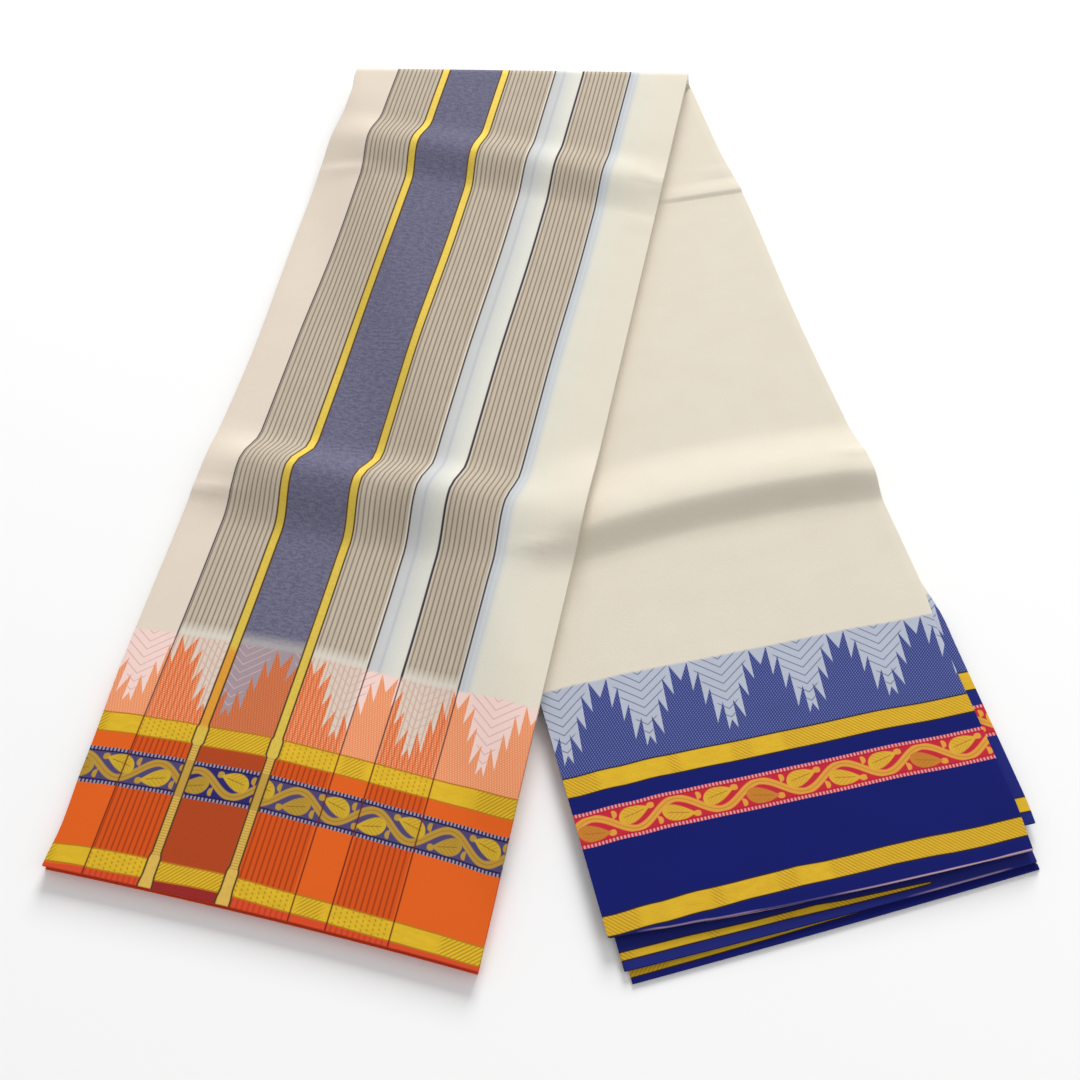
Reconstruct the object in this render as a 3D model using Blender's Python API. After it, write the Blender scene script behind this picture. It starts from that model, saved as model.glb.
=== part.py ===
# A dhoti cloth: one length of cotton pleated lengthwise into a flat strip of sixteen plies, then folded
# over at its middle so that its two arms spread in an upside-down V. Metres, +Z up. The left arm lies on
# the right one. The origin is on the surface, under the middle of the cloth's bounding box.

from collections import namedtuple
from math import cos, pi, radians, sin, tan

import bmesh
import bpy
from mathutils import Vector

# The folded strip. The cloth is 3.65 m long, so sixteen plies give the width.
STRIP_WIDTH = 0.228
PLY_GROUP = 0.00175
GROUPS = 4
SEAM_GAP = 0.0003
STACK = GROUPS * PLY_GROUP + (GROUPS - 1) * SEAM_GAP
HALF_ANGLE = radians(13.05)

# The fold over at the top, and how the left arm settles on the right one.
FOLD_LINE = -0.0098
FOLD_STEPS = 10
LOOP_HEIGHT = 0.004
ARM_GAP = 0.0008
LOOP_FROM = 0.045
LOOP_TO = 0.125
DRAPE_START = 0.004
DRAPE_LENGTH = 0.06
RIDE_OVER = 1.3

# The grid that every group of plies shares, so that their walls stay parallel. A crease has a row at
# each of these shares of its far and its near slope.
COLUMNS = 15
COLUMN_INSET = 0.009
ROW_STEP = 0.032
FAR_ROWS = (-1.0, -0.7, -0.4)
NEAR_ROWS = (0.0, 0.25, 0.5, 0.75, 1.0)
LAST_SHARED_ROW = 0.585
EDGE_RADIUS = PLY_GROUP / 2
EDGE_ANGLES = (30, -30)
SHIFT_FROM = 0.45
SHIFT_TO = 0.495
OPENED_COLUMNS = 1

LEFT, RIGHT = -1, 1

# Packing creases: at is the crest's distance from the fold at the arm's middle, skew and bow its change
# across the arm. The lift rises from left_foot to left_full and falls from right_full to right_foot.
Crease = namedtuple("Crease", "arm at skew bow lift far near left_foot left_full right_full right_foot")
CREASES = (
    Crease(LEFT, 0.096, -0.02, 0.0, 0.0055, 0.026, 0.036, -0.150, -0.060, 0.060, 0.150),
    Crease(LEFT, 0.374, -0.01, 0.0, 0.0098, 0.027, 0.044, -0.135, -0.070, 0.000, 0.125),
    Crease(RIGHT, 0.136, 0.00, 0.0, 0.0012, 0.012, 0.010, 0.040, 0.080, 0.120, 0.160),
    Crease(RIGHT, 0.3803, -0.03, 0.75, 0.0090, 0.042, 0.021, -0.118, -0.045, 0.100, 0.175),
)

# How far in the left arm's outer edge lies, and how far out the right arm's one, by distance from the fold.
LEFT_ARM_INSET = ((0.012, 0.0), (0.040, 0.0020), (0.070, 0.0018), (0.100, -0.0008), (0.160, 0.0),
                  (0.290, 0.0027), (0.400, 0.0005), (0.510, 0.0), (0.580, 0.0018), (0.620, 0.0032))
RIGHT_ARM_OUTSET = ((0.080, 0.0), (0.155, 0.0030), (0.250, 0.0015), (0.380, 0.0036), (0.460, 0.0042),
                    (0.500, 0.0016), (0.600, 0.0018), (0.640, -0.0006))

# Each group of four plies, counted outwards in layer from the outer face. The ends are distances from
# the fold at the strip's left and right edge. At the right arm's end the edges step in and out.
Group = namedtuple("Group", "layer left_end_a left_end_b right_end_a right_end_b step_in step_out")
OUTER = Group(0, 0.6374, 0.6434, 0.6500, 0.6413, 0.0065, 0.0020)
HIDDEN_LOWER = Group(1, 0.6362, 0.6422, 0.6435, 0.6380, 0.0040, 0.0010)
HIDDEN_UPPER = Group(2, 0.6352, 0.6412, 0.6120, 0.6180, 0.0010, 0.0070)
INNER = Group(3, 0.6366, 0.6426, 0.6264, 0.6326, 0.0000, 0.0000)

Finish = namedtuple("Finish", "name colour roughness")
STRIPED = Finish("striped_cotton", (0.62, 0.56, 0.47), 0.85)
CREAM = Finish("cream_cotton", (0.78, 0.71, 0.60), 0.85)
BLUE = Finish("blue_cotton", (0.02, 0.03, 0.25), 0.8)

Row = namedtuple("Row", "arm at skew bow turn")


def clear_scene():
    for thing in list(bpy.data.objects):
        bpy.data.objects.remove(thing)


def ease(u):
    u = min(max(u, 0.0), 1.0)
    return u * u * (3 - 2 * u)


def between(points, s):
    """The value at s of a curve that eases from each of its points to the next."""
    for (low_s, low), (high_s, high) in zip(points, points[1:]):
        if s <= high_s:
            return low + (high - low) * ease((s - low_s) / (high_s - low_s))
    return points[-1][1]


def on_plan(arm, s, t):
    """The plan point at distance s from the fold along an arm, and t to the right of its middle."""
    return arm * s * sin(HALF_ANGLE) + t * cos(HALF_ANGLE), arm * t * sin(HALF_ANGLE) - s * cos(HALF_ANGLE)


def along(arm, x, y):
    return arm * x * sin(HALF_ANGLE) - y * cos(HALF_ANGLE), x * cos(HALF_ANGLE) + arm * y * sin(HALF_ANGLE)


def crease_lift(arm, s, t, stretch=1.0):
    """How far the packing creases raise an arm at a place on it."""
    lift = 0.0
    for crease in CREASES:
        if crease.arm != arm:
            continue
        past = s - crease.at - crease.skew * t - crease.bow * t * t
        reach = (crease.near if past > 0 else crease.far) * stretch
        rise = ease((t - crease.left_foot) / (crease.left_full - crease.left_foot))
        fall = ease((crease.right_foot - t) / (crease.right_foot - crease.right_full))
        lift += crease.lift * rise * fall * (1 - ease(abs(past) / reach))
    return lift


def underside(arm, s, t):
    """The height of an arm's underside over the surface that the cloth lies on."""
    if arm == RIGHT:
        return crease_lift(RIGHT, s, t)
    x, y = on_plan(LEFT, s, t)
    below_s, below_t = along(RIGHT, x, y)
    beyond = -STRIP_WIDTH / 2 - below_t
    carried = 1 - ease((beyond - DRAPE_START) / DRAPE_LENGTH)
    loop = (LOOP_HEIGHT - ARM_GAP) * (1 - ease((s - LOOP_FROM) / (LOOP_TO - LOOP_FROM)))
    bump = RIDE_OVER * crease_lift(RIGHT, below_s, below_t, RIDE_OVER)
    return carried * (STACK + ARM_GAP + loop + bump) + crease_lift(LEFT, s, t)


def fold_row(arm):
    return Row(arm, -FOLD_LINE / cos(HALF_ANGLE), arm * tan(HALF_ANGLE), 0.0, 0.0)


def arm_rows(arm):
    """Rows across an arm from the fold outwards: on each crease, and evenly between them."""
    knots = [fold_row(arm)]
    for crease in CREASES:
        if crease.arm == arm:
            steps = [crease.far * share for share in FAR_ROWS] + [crease.near * share for share in NEAR_ROWS]
            knots += [Row(arm, crease.at + step, crease.skew, crease.bow, 0.0) for step in steps]
    knots.append(Row(arm, LAST_SHARED_ROW, 0.0, 0.0, 0.0))
    rows = [knots[0]]
    for last, following in zip(knots, knots[1:]):
        count = max(1, round((following.at - last.at) / ROW_STEP))
        for i in range(1, count + 1):
            share = i / count
            at = last.at + share * (following.at - last.at)
            skew = last.skew + share * (following.skew - last.skew)
            rows.append(Row(arm, at, skew, last.bow + share * (following.bow - last.bow), 0.0))
    return rows


def shared_rows():
    """Every row that all the groups share, from the left arm's last one over the fold to the right's."""
    turns = [Row(0, 0.0, 0.0, 0.0, pi * (1 - i / FOLD_STEPS)) for i in range(1, FOLD_STEPS)]
    return arm_rows(LEFT)[::-1] + turns + arm_rows(RIGHT)


def place(row, t, depth, s=None):
    """A point of the strip, depth inwards from its outer face. s overrides the row's own distance."""
    if row.arm:
        if s is None:
            s = row.at + row.skew * t + row.bow * t * t
        x, y = on_plan(row.arm, s, t)
        inner = STACK - depth if row.arm == LEFT else depth
        return Vector((x, y, underside(row.arm, s, t) + inner))
    radius = STACK + LOOP_HEIGHT / 2
    lean = -FOLD_LINE * tan(HALF_ANGLE) * (1 - 2 * row.turn / pi)
    arc = radius - depth
    return Vector((lean + t / cos(HALF_ANGLE), FOLD_LINE + arc * sin(row.turn), radius - arc * cos(row.turn)))


def edge_places(group, row, s):
    """The group's left and right edge on a row: uneven, and stepped near the right arm's end."""
    left, right = -STRIP_WIDTH / 2, STRIP_WIDTH / 2
    if row.arm == LEFT:
        left += between(LEFT_ARM_INSET, s)
    elif row.arm == RIGHT:
        shift = ease((s - SHIFT_FROM) / (SHIFT_TO - SHIFT_FROM))
        left += group.step_in * shift
        right += group.step_out * shift + between(RIGHT_ARM_OUTSET, s)
    return left, right


def section(group, row, ends=None, squash=1.0):
    """One ring of points round the group: its outer face, right edge, inner face and left edge.
    ends gives the distance from the fold at the left and right edge of a row that isn't shared."""
    left, right = edge_places(group, row, ends[0] if ends else row.at)
    half = STRIP_WIDTH / 2 - COLUMN_INSET
    columns = [-half + 2 * half * i / (COLUMNS - 1) for i in range(COLUMNS)]
    columns = [left + EDGE_RADIUS] + columns + [right - EDGE_RADIUS]
    middle = group.layer * (PLY_GROUP + SEAM_GAP) + EDGE_RADIUS

    def point(t, height):
        s = ends[0] + (ends[1] - ends[0]) * (t / STRIP_WIDTH + 0.5) if ends else None
        return place(row, t, middle - height * squash, s)

    outer = [point(t, EDGE_RADIUS) for t in columns]
    inner = [point(t, -EDGE_RADIUS) for t in columns]
    arc = [(EDGE_RADIUS * (1 - cos(radians(a))), EDGE_RADIUS * sin(radians(a))) for a in EDGE_ANGLES]
    right_edge = [point(right - inset, height) for inset, height in arc]
    left_edge = [point(left + inset, height) for inset, height in arc]
    return outer, right_edge, inner, left_edge


def add_points(bm, ring):
    return [[bm.verts.new(co) for co in run] for run in ring]


def add_quad(bm, a, b, c, d):
    """Two triangles that share the side a-c, so that facing walls are split the same way."""
    return [bm.faces.new((a, b, c)), bm.faces.new((a, c, d))]


def add_strip(bm, first, second):
    return [add_quad(bm, first[i], first[i + 1], second[i + 1], second[i]) for i in range(len(first) - 1)]


def around(ring):
    """The ring's two edges as runs from the outer face to the inner one."""
    outer, right_edge, inner, left_edge = ring
    return [outer[-1]] + right_edge + [inner[-1]], [outer[0]] + left_edge + [inner[0]]


def cap(bm, ring):
    outer, right_edge, inner, left_edge = ring
    add_strip(bm, outer, inner)
    for corner, edge, far in ((outer[-1], right_edge, inner[-1]), (outer[0], left_edge, inner[0])):
        bm.faces.new((corner, edge[0], edge[1]))
        bm.faces.new((corner, edge[1], far))


def add_group(bm, group):
    """The group's closed wall. It returns the shared rows' faces on its outer and its inner side."""
    left_last, right_last = shared_rows()[0], shared_rows()[-1]
    left_ends = group.left_end_a, group.left_end_b
    right_ends = group.right_end_a, group.right_end_b
    inset_left = [end - EDGE_RADIUS for end in left_ends]
    inset_right = [end - EDGE_RADIUS for end in right_ends]
    rings = [section(group, left_last, left_ends, 0.5), section(group, left_last, inset_left)]
    rings += [section(group, row) for row in shared_rows()]
    rings += [section(group, right_last, inset_right), section(group, right_last, right_ends, 0.5)]
    rings = [add_points(bm, ring) for ring in rings]
    outer_faces, inner_faces = [], []
    for last, following in zip(rings, rings[1:]):
        outer_faces.append(add_strip(bm, last[0], following[0]))
        inner_faces.append(add_strip(bm, last[2], following[2]))
        for edge, next_edge in zip(around(last), around(following)):
            add_strip(bm, edge, next_edge)
    cap(bm, rings[0])
    cap(bm, rings[-1])
    return outer_faces[2:-2], inner_faces[2:-2]


def open_facing(bm, rows):
    """Takes out a side's faces away from its edges, and returns the edges round the opening."""
    inside = [face for row in rows for pair in row[OPENED_COLUMNS:-OPENED_COLUMNS] for face in pair]
    rim = {edge for face in inside for edge in face.edges if sum(f in inside for f in edge.link_faces) == 1}
    bmesh.ops.delete(bm, geom=inside, context="FACES")
    return list(rim)


def make_material(finish):
    material = bpy.data.materials.new(finish.name)
    material.use_nodes = True
    shader = material.node_tree.nodes["Principled BSDF"]
    shader.inputs["Base Color"].default_value = (*finish.colour, 1.0)
    shader.inputs["Roughness"].default_value = finish.roughness
    shader.inputs["Metallic"].default_value = 0.0
    return material


def make_object(name, bm, finish):
    bmesh.ops.recalc_face_normals(bm, faces=bm.faces)
    mesh = bpy.data.meshes.new(name)
    bm.to_mesh(mesh)
    bm.free()
    mesh.shade_smooth()
    mesh.set_sharp_from_angle(angle=radians(40))
    mesh.materials.append(make_material(finish))
    thing = bpy.data.objects.new(name, mesh)
    bpy.context.scene.collection.objects.link(thing)
    return thing


def make_panel(name, group, finish):
    """A group of four plies that shows one face: a wall of its own."""
    bm = bmesh.new()
    add_group(bm, group)
    return make_object(name, bm, finish)


def make_hidden_plies(name, finish):
    """The eight hidden plies: one rounded body, layered along its edges and at its ends."""
    bm = bmesh.new()
    _, facing_in = add_group(bm, HIDDEN_LOWER)
    facing_out, _ = add_group(bm, HIDDEN_UPPER)
    rims = open_facing(bm, facing_in) + open_facing(bm, facing_out)
    bmesh.ops.bridge_loops(bm, edges=rims)
    bmesh.ops.triangulate(bm, faces=bm.faces)
    return make_object(name, bm, finish)


def stand_on_origin(things):
    """Moves the meshes so that the origin is on the surface under the middle of their bounding box."""
    points = [vertex.co for thing in things for vertex in thing.data.vertices]
    low = Vector([min(point[i] for point in points) for i in range(3)])
    high = Vector([max(point[i] for point in points) for i in range(3)])
    shift = Vector((-(low.x + high.x) / 2, -(low.y + high.y) / 2, -low.z))
    for thing in things:
        for vertex in thing.data.vertices:
            vertex.co += shift
    return shift


clear_scene()
cloth = [
    make_panel("outer_panel", OUTER, STRIPED),
    make_panel("inner_panel", INNER, CREAM),
    make_hidden_plies("hidden_plies", BLUE),
]
shift = stand_on_origin(cloth)
print("moved by", [round(value, 5) for value in shift])
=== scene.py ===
from math import cos, hypot, pi, radians, sin, tan

import bmesh
import bpy
from mathutils import Matrix, Vector


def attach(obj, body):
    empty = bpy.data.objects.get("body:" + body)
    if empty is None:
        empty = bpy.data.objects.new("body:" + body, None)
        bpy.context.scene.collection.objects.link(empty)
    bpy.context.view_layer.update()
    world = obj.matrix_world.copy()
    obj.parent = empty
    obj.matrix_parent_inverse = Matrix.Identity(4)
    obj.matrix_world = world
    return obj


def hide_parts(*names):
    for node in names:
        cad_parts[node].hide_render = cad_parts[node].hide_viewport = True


# A dhoti cloth, pleated into a flat strip and folded over in an upside-down V. Metres, +Z up.
# Each pack of plies is one sheet folded round an edge of the strip, and the packs lie on each other.

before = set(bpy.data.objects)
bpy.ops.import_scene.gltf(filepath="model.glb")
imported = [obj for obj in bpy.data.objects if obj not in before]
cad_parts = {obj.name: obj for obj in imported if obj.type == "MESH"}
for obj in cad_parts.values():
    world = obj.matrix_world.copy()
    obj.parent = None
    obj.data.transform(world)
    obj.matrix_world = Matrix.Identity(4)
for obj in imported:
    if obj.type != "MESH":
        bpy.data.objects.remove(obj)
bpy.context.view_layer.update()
print("frame loaded:", sorted(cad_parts))

leftArm, rightArm = -1, 1

strip = {
    "width": 0.228,
    "pack": 0.00175,          # four plies pressed together
    "seam": 0.0003,
    "packs": 4,
    "halfAngle": radians(13.05),
    "foldLine": -0.0098,      # the axis of the bend at the top, along Y
    "loopHeight": 0.004,      # air inside that bend
    "armGap": 0.0008,
    "loopFrom": 0.045,        # from here to loopTo that air runs out between the arms
    "loopTo": 0.125,
    "drapeStart": 0.004,      # the left arm sinks to the floor beside the right one
    "drapeLength": 0.06,
    "rideOver": 1.3,          # the right arm's creases lift the left one, this much wider and higher
    "shiftFrom": 0.45,        # from here to shiftTo the right arm's plies slide aside
    "shiftTo": 0.495,
    "toFrame": Vector((-0.00342, 0.32856, 0.0)),
}
strip["stack"] = strip["packs"] * strip["pack"] + (strip["packs"] - 1) * strip["seam"]
bendRadius = strip["stack"] + strip["loopHeight"] / 2

# Packing creases. at is the crest's distance from the fold, skew and bow its change across the arm, and
# far and near its reach towards the fold and towards the open end. The lift rises from leftFoot to
# leftFull and falls from rightFull to rightFoot.
creases = [
    {"arm": leftArm, "at": 0.096, "skew": -0.02, "bow": 0.0, "lift": 0.0055, "far": 0.026, "near": 0.031,
     "leftFoot": -0.150, "leftFull": -0.060, "rightFull": 0.060, "rightFoot": 0.150},
    {"arm": leftArm, "at": 0.374, "skew": -0.01, "bow": 0.0, "lift": 0.0098, "far": 0.027, "near": 0.044,
     "leftFoot": -0.135, "leftFull": -0.070, "rightFull": 0.0, "rightFoot": 0.125},
    {"arm": rightArm, "at": 0.138, "skew": 0.01, "bow": 0.0, "lift": 0.0012, "far": 0.013, "near": 0.0045,
     "leftFoot": 0.040, "leftFull": 0.080, "rightFull": 0.120, "rightFoot": 0.160},
    {"arm": rightArm, "at": 0.3825, "skew": -0.05, "bow": 0.70, "lift": 0.0090, "far": 0.042, "near": 0.021,
     "leftFoot": -0.118, "leftFull": -0.045, "rightFull": 0.100, "rightFoot": 0.175},
]

# Small puckers beside the creases: a ridge's middle along and across the arm, its slant, its height, and
# its half length along and across the arm.
puckers = [
    {"arm": leftArm, "at": 0.126, "across": -0.098, "slant": -0.15,
     "lift": 0.0011, "long": 0.007, "wide": 0.030},
    {"arm": leftArm, "at": 0.092, "across": 0.104, "slant": 0.10,
     "lift": 0.0010, "long": 0.005, "wide": 0.020},
    {"arm": rightArm, "at": 0.121, "across": 0.106, "slant": 0.10,
     "lift": 0.0009, "long": 0.005, "wide": 0.022},
    {"arm": rightArm, "at": 0.372, "across": 0.112, "slant": 0.05,
     "lift": 0.0012, "long": 0.005, "wide": 0.020},
    {"arm": leftArm, "at": 0.130, "across": 0.104, "slant": 0.10,
     "lift": 0.0009, "long": 0.006, "wide": 0.018},
    {"arm": leftArm, "at": 0.397, "across": -0.103, "slant": -0.12,
     "lift": 0.0016, "long": 0.007, "wide": 0.028},
    {"arm": leftArm, "at": 0.398, "across": 0.094, "slant": -0.30,
     "lift": 0.0012, "long": 0.006, "wide": 0.026},
]


def ease(share):
    share = min(max(share, 0.0), 1.0)
    return share * share * (3 - 2 * share)


def onPlan(arm, s, t):
    turn = strip["halfAngle"]
    return arm * s * sin(turn) + t * cos(turn), arm * t * sin(turn) - s * cos(turn)


def alongArm(arm, x, y):
    turn = strip["halfAngle"]
    return arm * x * sin(turn) - y * cos(turn), x * cos(turn) + arm * y * sin(turn)


def creaseLift(arm, s, t, stretch=1.0):
    lift = 0.0
    for crease in creases:
        if crease["arm"] != arm:
            continue
        past = s - crease["at"] - crease["skew"] * t - crease["bow"] * t * t
        reach = crease["near" if past > 0 else "far"] * stretch
        rise = ease((t - crease["leftFoot"]) / (crease["leftFull"] - crease["leftFoot"]))
        fall = ease((crease["rightFoot"] - t) / (crease["rightFoot"] - crease["rightFull"]))
        lift += crease["lift"] * rise * fall * (1 - ease(abs(past) / reach))
    for pucker in puckers:
        if pucker["arm"] == arm:
            aside = t - pucker["across"]
            past = s - pucker["at"] - pucker["slant"] * aside
            lift += pucker["lift"] * (1 - ease(hypot(past / pucker["long"], aside / pucker["wide"])))
    return lift


def underside(arm, s, t):
    if arm == rightArm:
        return creaseLift(rightArm, s, t)
    belowS, belowT = alongArm(rightArm, *onPlan(leftArm, s, t))
    beyond = -strip["width"] / 2 - belowT
    carried = 1 - ease((beyond - strip["drapeStart"]) / strip["drapeLength"])
    loopShare = (s - strip["loopFrom"]) / (strip["loopTo"] - strip["loopFrom"])
    loop = (strip["loopHeight"] - strip["armGap"]) * (1 - ease(loopShare))
    bump = strip["rideOver"] * creaseLift(rightArm, belowS, belowT, strip["rideOver"])
    return carried * (strip["stack"] + strip["armGap"] + loop + bump) + creaseLift(leftArm, s, t)


def foldRow(arm):
    turn = strip["halfAngle"]
    return {"arm": arm, "at": -strip["foldLine"] / cos(turn), "skew": arm * tan(turn), "bow": 0.0}


# The rows across the strip that every pack shares, so that the packs stay parallel.
rowSteps = {"flat": 0.0065, "nearRows": 12, "bend": 22, "lastShared": 0.585, "endStep": 0.006}


def rowsBetween(first, last, step):
    count = max(1, round(abs(last["at"] - first["at"]) / step))
    rows = []
    for i in range(1, count + 1):
        share = i / count
        row = {key: first[key] + share * (last[key] - first[key]) for key in ("at", "skew", "bow")}
        rows.append({"arm": last["arm"], **row})
    return rows


def armRows(arm):
    rows = [foldRow(arm)]
    for crease in creases:
        if crease["arm"] == arm:
            fine = crease["near"] / rowSteps["nearRows"]
            for past, step in ((-crease["far"], rowSteps["flat"]), (0.0, 2 * fine), (crease["near"], fine)):
                knot = {"arm": arm, "at": crease["at"] + past, "skew": crease["skew"], "bow": crease["bow"]}
                rows += rowsBetween(rows[-1], knot, step)
    lastRow = {"arm": arm, "at": rowSteps["lastShared"], "skew": 0.0, "bow": 0.0}
    return rows + rowsBetween(rows[-1], lastRow, rowSteps["flat"])


def endRows(arm, shared, ends, bow):
    # From the last shared row to the pack's own end, which is given at the strip's left and right edge
    # and bows out by bow at the middle.
    skew = (ends[1] - ends[0]) / strip["width"]
    curve = -4 * bow / strip["width"] ** 2
    endRow = {"arm": arm, "at": sum(ends) / 2 + bow, "skew": skew, "bow": curve}
    return rowsBetween(shared, endRow, rowSteps["endStep"])


def endAt(ends, bow, t):
    share = t / strip["width"] + 0.5
    return ends[0] + share * (ends[1] - ends[0]) + bow * max(0.0, 4 * share * (1 - share))


def stripPoint(row, t, depth):
    # A point of the strip, depth inwards from its outer face, and its distance along the strip.
    if "turn" in row:
        lean = -strip["foldLine"] * tan(strip["halfAngle"]) * (1 - 2 * row["turn"] / pi)
        arc = bendRadius - depth
        place = Vector((lean + t / cos(strip["halfAngle"]), strip["foldLine"] + arc * sin(row["turn"]),
                        bendRadius - arc * cos(row["turn"])))
        start = -strip["foldLine"] / cos(strip["halfAngle"]) - tan(strip["halfAngle"]) * t
        return place, -start + (1 - row["turn"] / pi) * pi * bendRadius
    s = row["at"] + row["skew"] * t + row["bow"] * t * t
    x, y = onPlan(row["arm"], s, t)
    inner = strip["stack"] - depth if row["arm"] == leftArm else depth
    place = Vector((x, y, underside(row["arm"], s, t) + inner))
    if row["arm"] == leftArm:
        return place, -s
    return place, s + pi * bendRadius + 2 * strip["foldLine"] / cos(strip["halfAngle"])


# How far in the left arm's outer edge lies, and how far out the right arm's one, by distance from the fold.
leftArmInset = [(0.012, 0.0), (0.040, 0.0020), (0.070, 0.0018), (0.100, -0.0008), (0.160, 0.0),
                (0.290, 0.0027), (0.400, 0.0005), (0.510, 0.0), (0.580, 0.0018), (0.615, 0.0030),
                (0.640, 0.0015)]
rightArmOutset = [(0.080, 0.0), (0.155, 0.0030), (0.250, 0.0015), (0.380, 0.0036), (0.460, 0.0042),
                  (0.500, 0.0016), (0.600, 0.0018), (0.640, -0.0006)]

# How far the woven pattern wanders sideways on the left arm: evenly by distance from the fold, and
# pulled aside over each crease by an amount that changes across the arm.
wander = [(0.0, 0.0022), (0.16, 0.0020), (0.28, 0.0), (0.34, 0.0), (0.43, -0.0025), (0.60, -0.0040),
          (0.70, -0.0044)]
pulls = [
    {"start": 0.071, "peak": 0.097, "stop": 0.130,
     "by": [(-0.114, -0.0015), (-0.087, -0.0030), (-0.054, -0.0036), (-0.014, -0.0028), (0.02, -0.0010),
            (0.114, -0.0010)]},
    {"start": 0.350, "peak": 0.375, "stop": 0.415,
     "by": [(-0.114, -0.0020), (-0.087, -0.0034), (-0.054, -0.0058), (-0.014, -0.0050), (0.02, -0.0036),
            (0.072, -0.0034), (0.114, -0.0010)]},
]


def between(points, x):
    for (lowX, low), (highX, high) in zip(points, points[1:]):
        if x <= highX:
            return low + (high - low) * ease((x - lowX) / (highX - lowX))
    return points[-1][1]


def wanderAt(s, t):
    aside = between(wander, s)
    for pull in pulls:
        slope = (s - pull["start"]) / (pull["peak"] - pull["start"])
        back = (pull["stop"] - s) / (pull["stop"] - pull["peak"])
        aside += between(pull["by"], t) * ease(slope) * ease(back)
    return aside


# How far the borders lie further in than the cloth's own end, across the strip, because the weft bows.
weftBow = {
    "left": [(-0.114, -0.0034), (-0.092, -0.0017), (-0.062, -0.0003), (-0.020, 0.0015), (0.020, 0.0009),
             (0.065, 0.0), (0.085, -0.0003), (0.114, -0.0022)],
    "right": [(-0.114, -0.0046), (-0.087, -0.0020), (-0.062, 0.0), (-0.032, 0.0009), (0.014, 0.0018),
              (0.060, 0.0024), (0.098, 0.0010), (0.114, 0.0008)],
}

# One sheet folded round an edge of the strip.
sheetShape = {
    "thick": 0.00075,
    "apart": 0.0010,          # between the middles of the two halves
    "columns": 36,
    "turnSteps": 6,
    "shortBy": 0.0010,        # the hidden half stops this much inside the free edge
    "flat": (0.457, 1.30),
}


def sheetColumns(pack, s, arm):
    # Across the sheet: (t, height from the pack's middle towards its shown side, distance in the cloth).
    low, high = -strip["width"] / 2, strip["width"] / 2
    if arm == leftArm:
        low += between(leftArmInset, s)
    else:
        shift = ease((s - strip["shiftFrom"]) / (strip["shiftTo"] - strip["shiftFrom"]))
        low += pack["stepIn"] * shift
        high += pack["stepOut"] * shift + between(rightArmOutset, s)
    side = pack["foldedEdge"]
    folded, free = (low, high) if side < 0 else (high, low)
    radius = sheetShape["apart"] / 2
    centre = folded - side * (sheetShape["thick"] / 2 + radius)
    count = sheetShape["columns"]
    columns = []
    for i in range(count + 1):
        t = free + (centre - free) * i / count
        columns.append((t, radius, t))
    for i in range(1, sheetShape["turnSteps"]):
        turn = pi * i / sheetShape["turnSteps"]
        columns.append((centre + side * radius * sin(turn), radius * cos(turn),
                        centre + side * radius * turn))
    roundEdge = side * radius * pi
    shortFree = free + side * sheetShape["shortBy"]
    for i in range(count + 1):
        t = centre + (shortFree - centre) * i / count
        columns.append((t, -radius, centre + roundEdge + (centre - t)))
    return columns


def foldedSheet(name, pack):
    left, right = armRows(leftArm), armRows(rightArm)
    bend = [{"turn": pi * (1 - i / rowSteps["bend"])} for i in range(1, rowSteps["bend"])]
    leftEnd = endRows(leftArm, left[-1], pack["leftEnds"], pack["leftBow"])
    rightEnd = endRows(rightArm, right[-1], pack["rightEnds"], pack["rightBow"])
    rows = leftEnd[::-1] + left[::-1] + bend + right + rightEnd
    columnCount = len(sheetColumns(pack, 0.0, leftArm))
    middle = pack["layer"] * (strip["pack"] + strip["seam"]) + strip["pack"] / 2

    bm = bmesh.new()
    bmesh.ops.create_grid(bm, x_segments=columnCount - 1, y_segments=len(rows) - 1, size=1.0)
    weave = bm.verts.layers.float_vector.new("weave")
    lastStrip = pi * bendRadius + 2 * strip["foldLine"] / cos(strip["halfAngle"])
    columnsOf = {}
    for vertex in bm.verts:
        i = round((vertex.co.x + 1) / 2 * (columnCount - 1))
        j = round((vertex.co.y + 1) / 2 * (len(rows) - 1))
        row = rows[j]
        if j not in columnsOf:
            columnsOf[j] = sheetColumns(pack, row.get("at", 0.0), row.get("arm", leftArm))
        t, height, across = columnsOf[j][i]
        place, along = stripPoint(row, t, middle - pack["shownSide"] * height)
        fromLeft = endAt(pack["leftEnds"], pack["leftBow"], t) + along
        fromRight = endAt(pack["rightEnds"], pack["rightBow"], t) + lastStrip - along
        if pack["slot"] == "striped_cotton":
            fromLeft -= between(weftBow["left"], t)
        if pack["slot"] == "cream_cotton":
            fromRight -= between(weftBow["right"], t)
        vertex.co = place + strip["toFrame"]
        across += pack["offset"] - wanderAt(-along, t)
        vertex[weave] = Vector((across, fromLeft, fromRight)) * 1000
    bmesh.ops.recalc_face_normals(bm, faces=bm.faces)
    mesh = bpy.data.meshes.new(name)
    bm.to_mesh(mesh)
    bm.free()
    mesh.shade_smooth()
    cloth = bpy.data.objects.new(name, mesh)
    bpy.context.scene.collection.objects.link(cloth)
    wall = cloth.modifiers.new("ply", "SOLIDIFY")
    wall.thickness = sheetShape["thick"]
    wall.offset = 0.0
    solid = bpy.data.meshes.new_from_object(cloth.evaluated_get(bpy.context.evaluated_depsgraph_get()))
    cloth.modifiers.clear()
    cloth.data = solid
    solid.set_sharp_from_angle(angle=radians(50))
    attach(cloth, "root")
    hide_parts(pack["node"])
    print(name, "has", len(solid.polygons), "faces")
    return cloth


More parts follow.
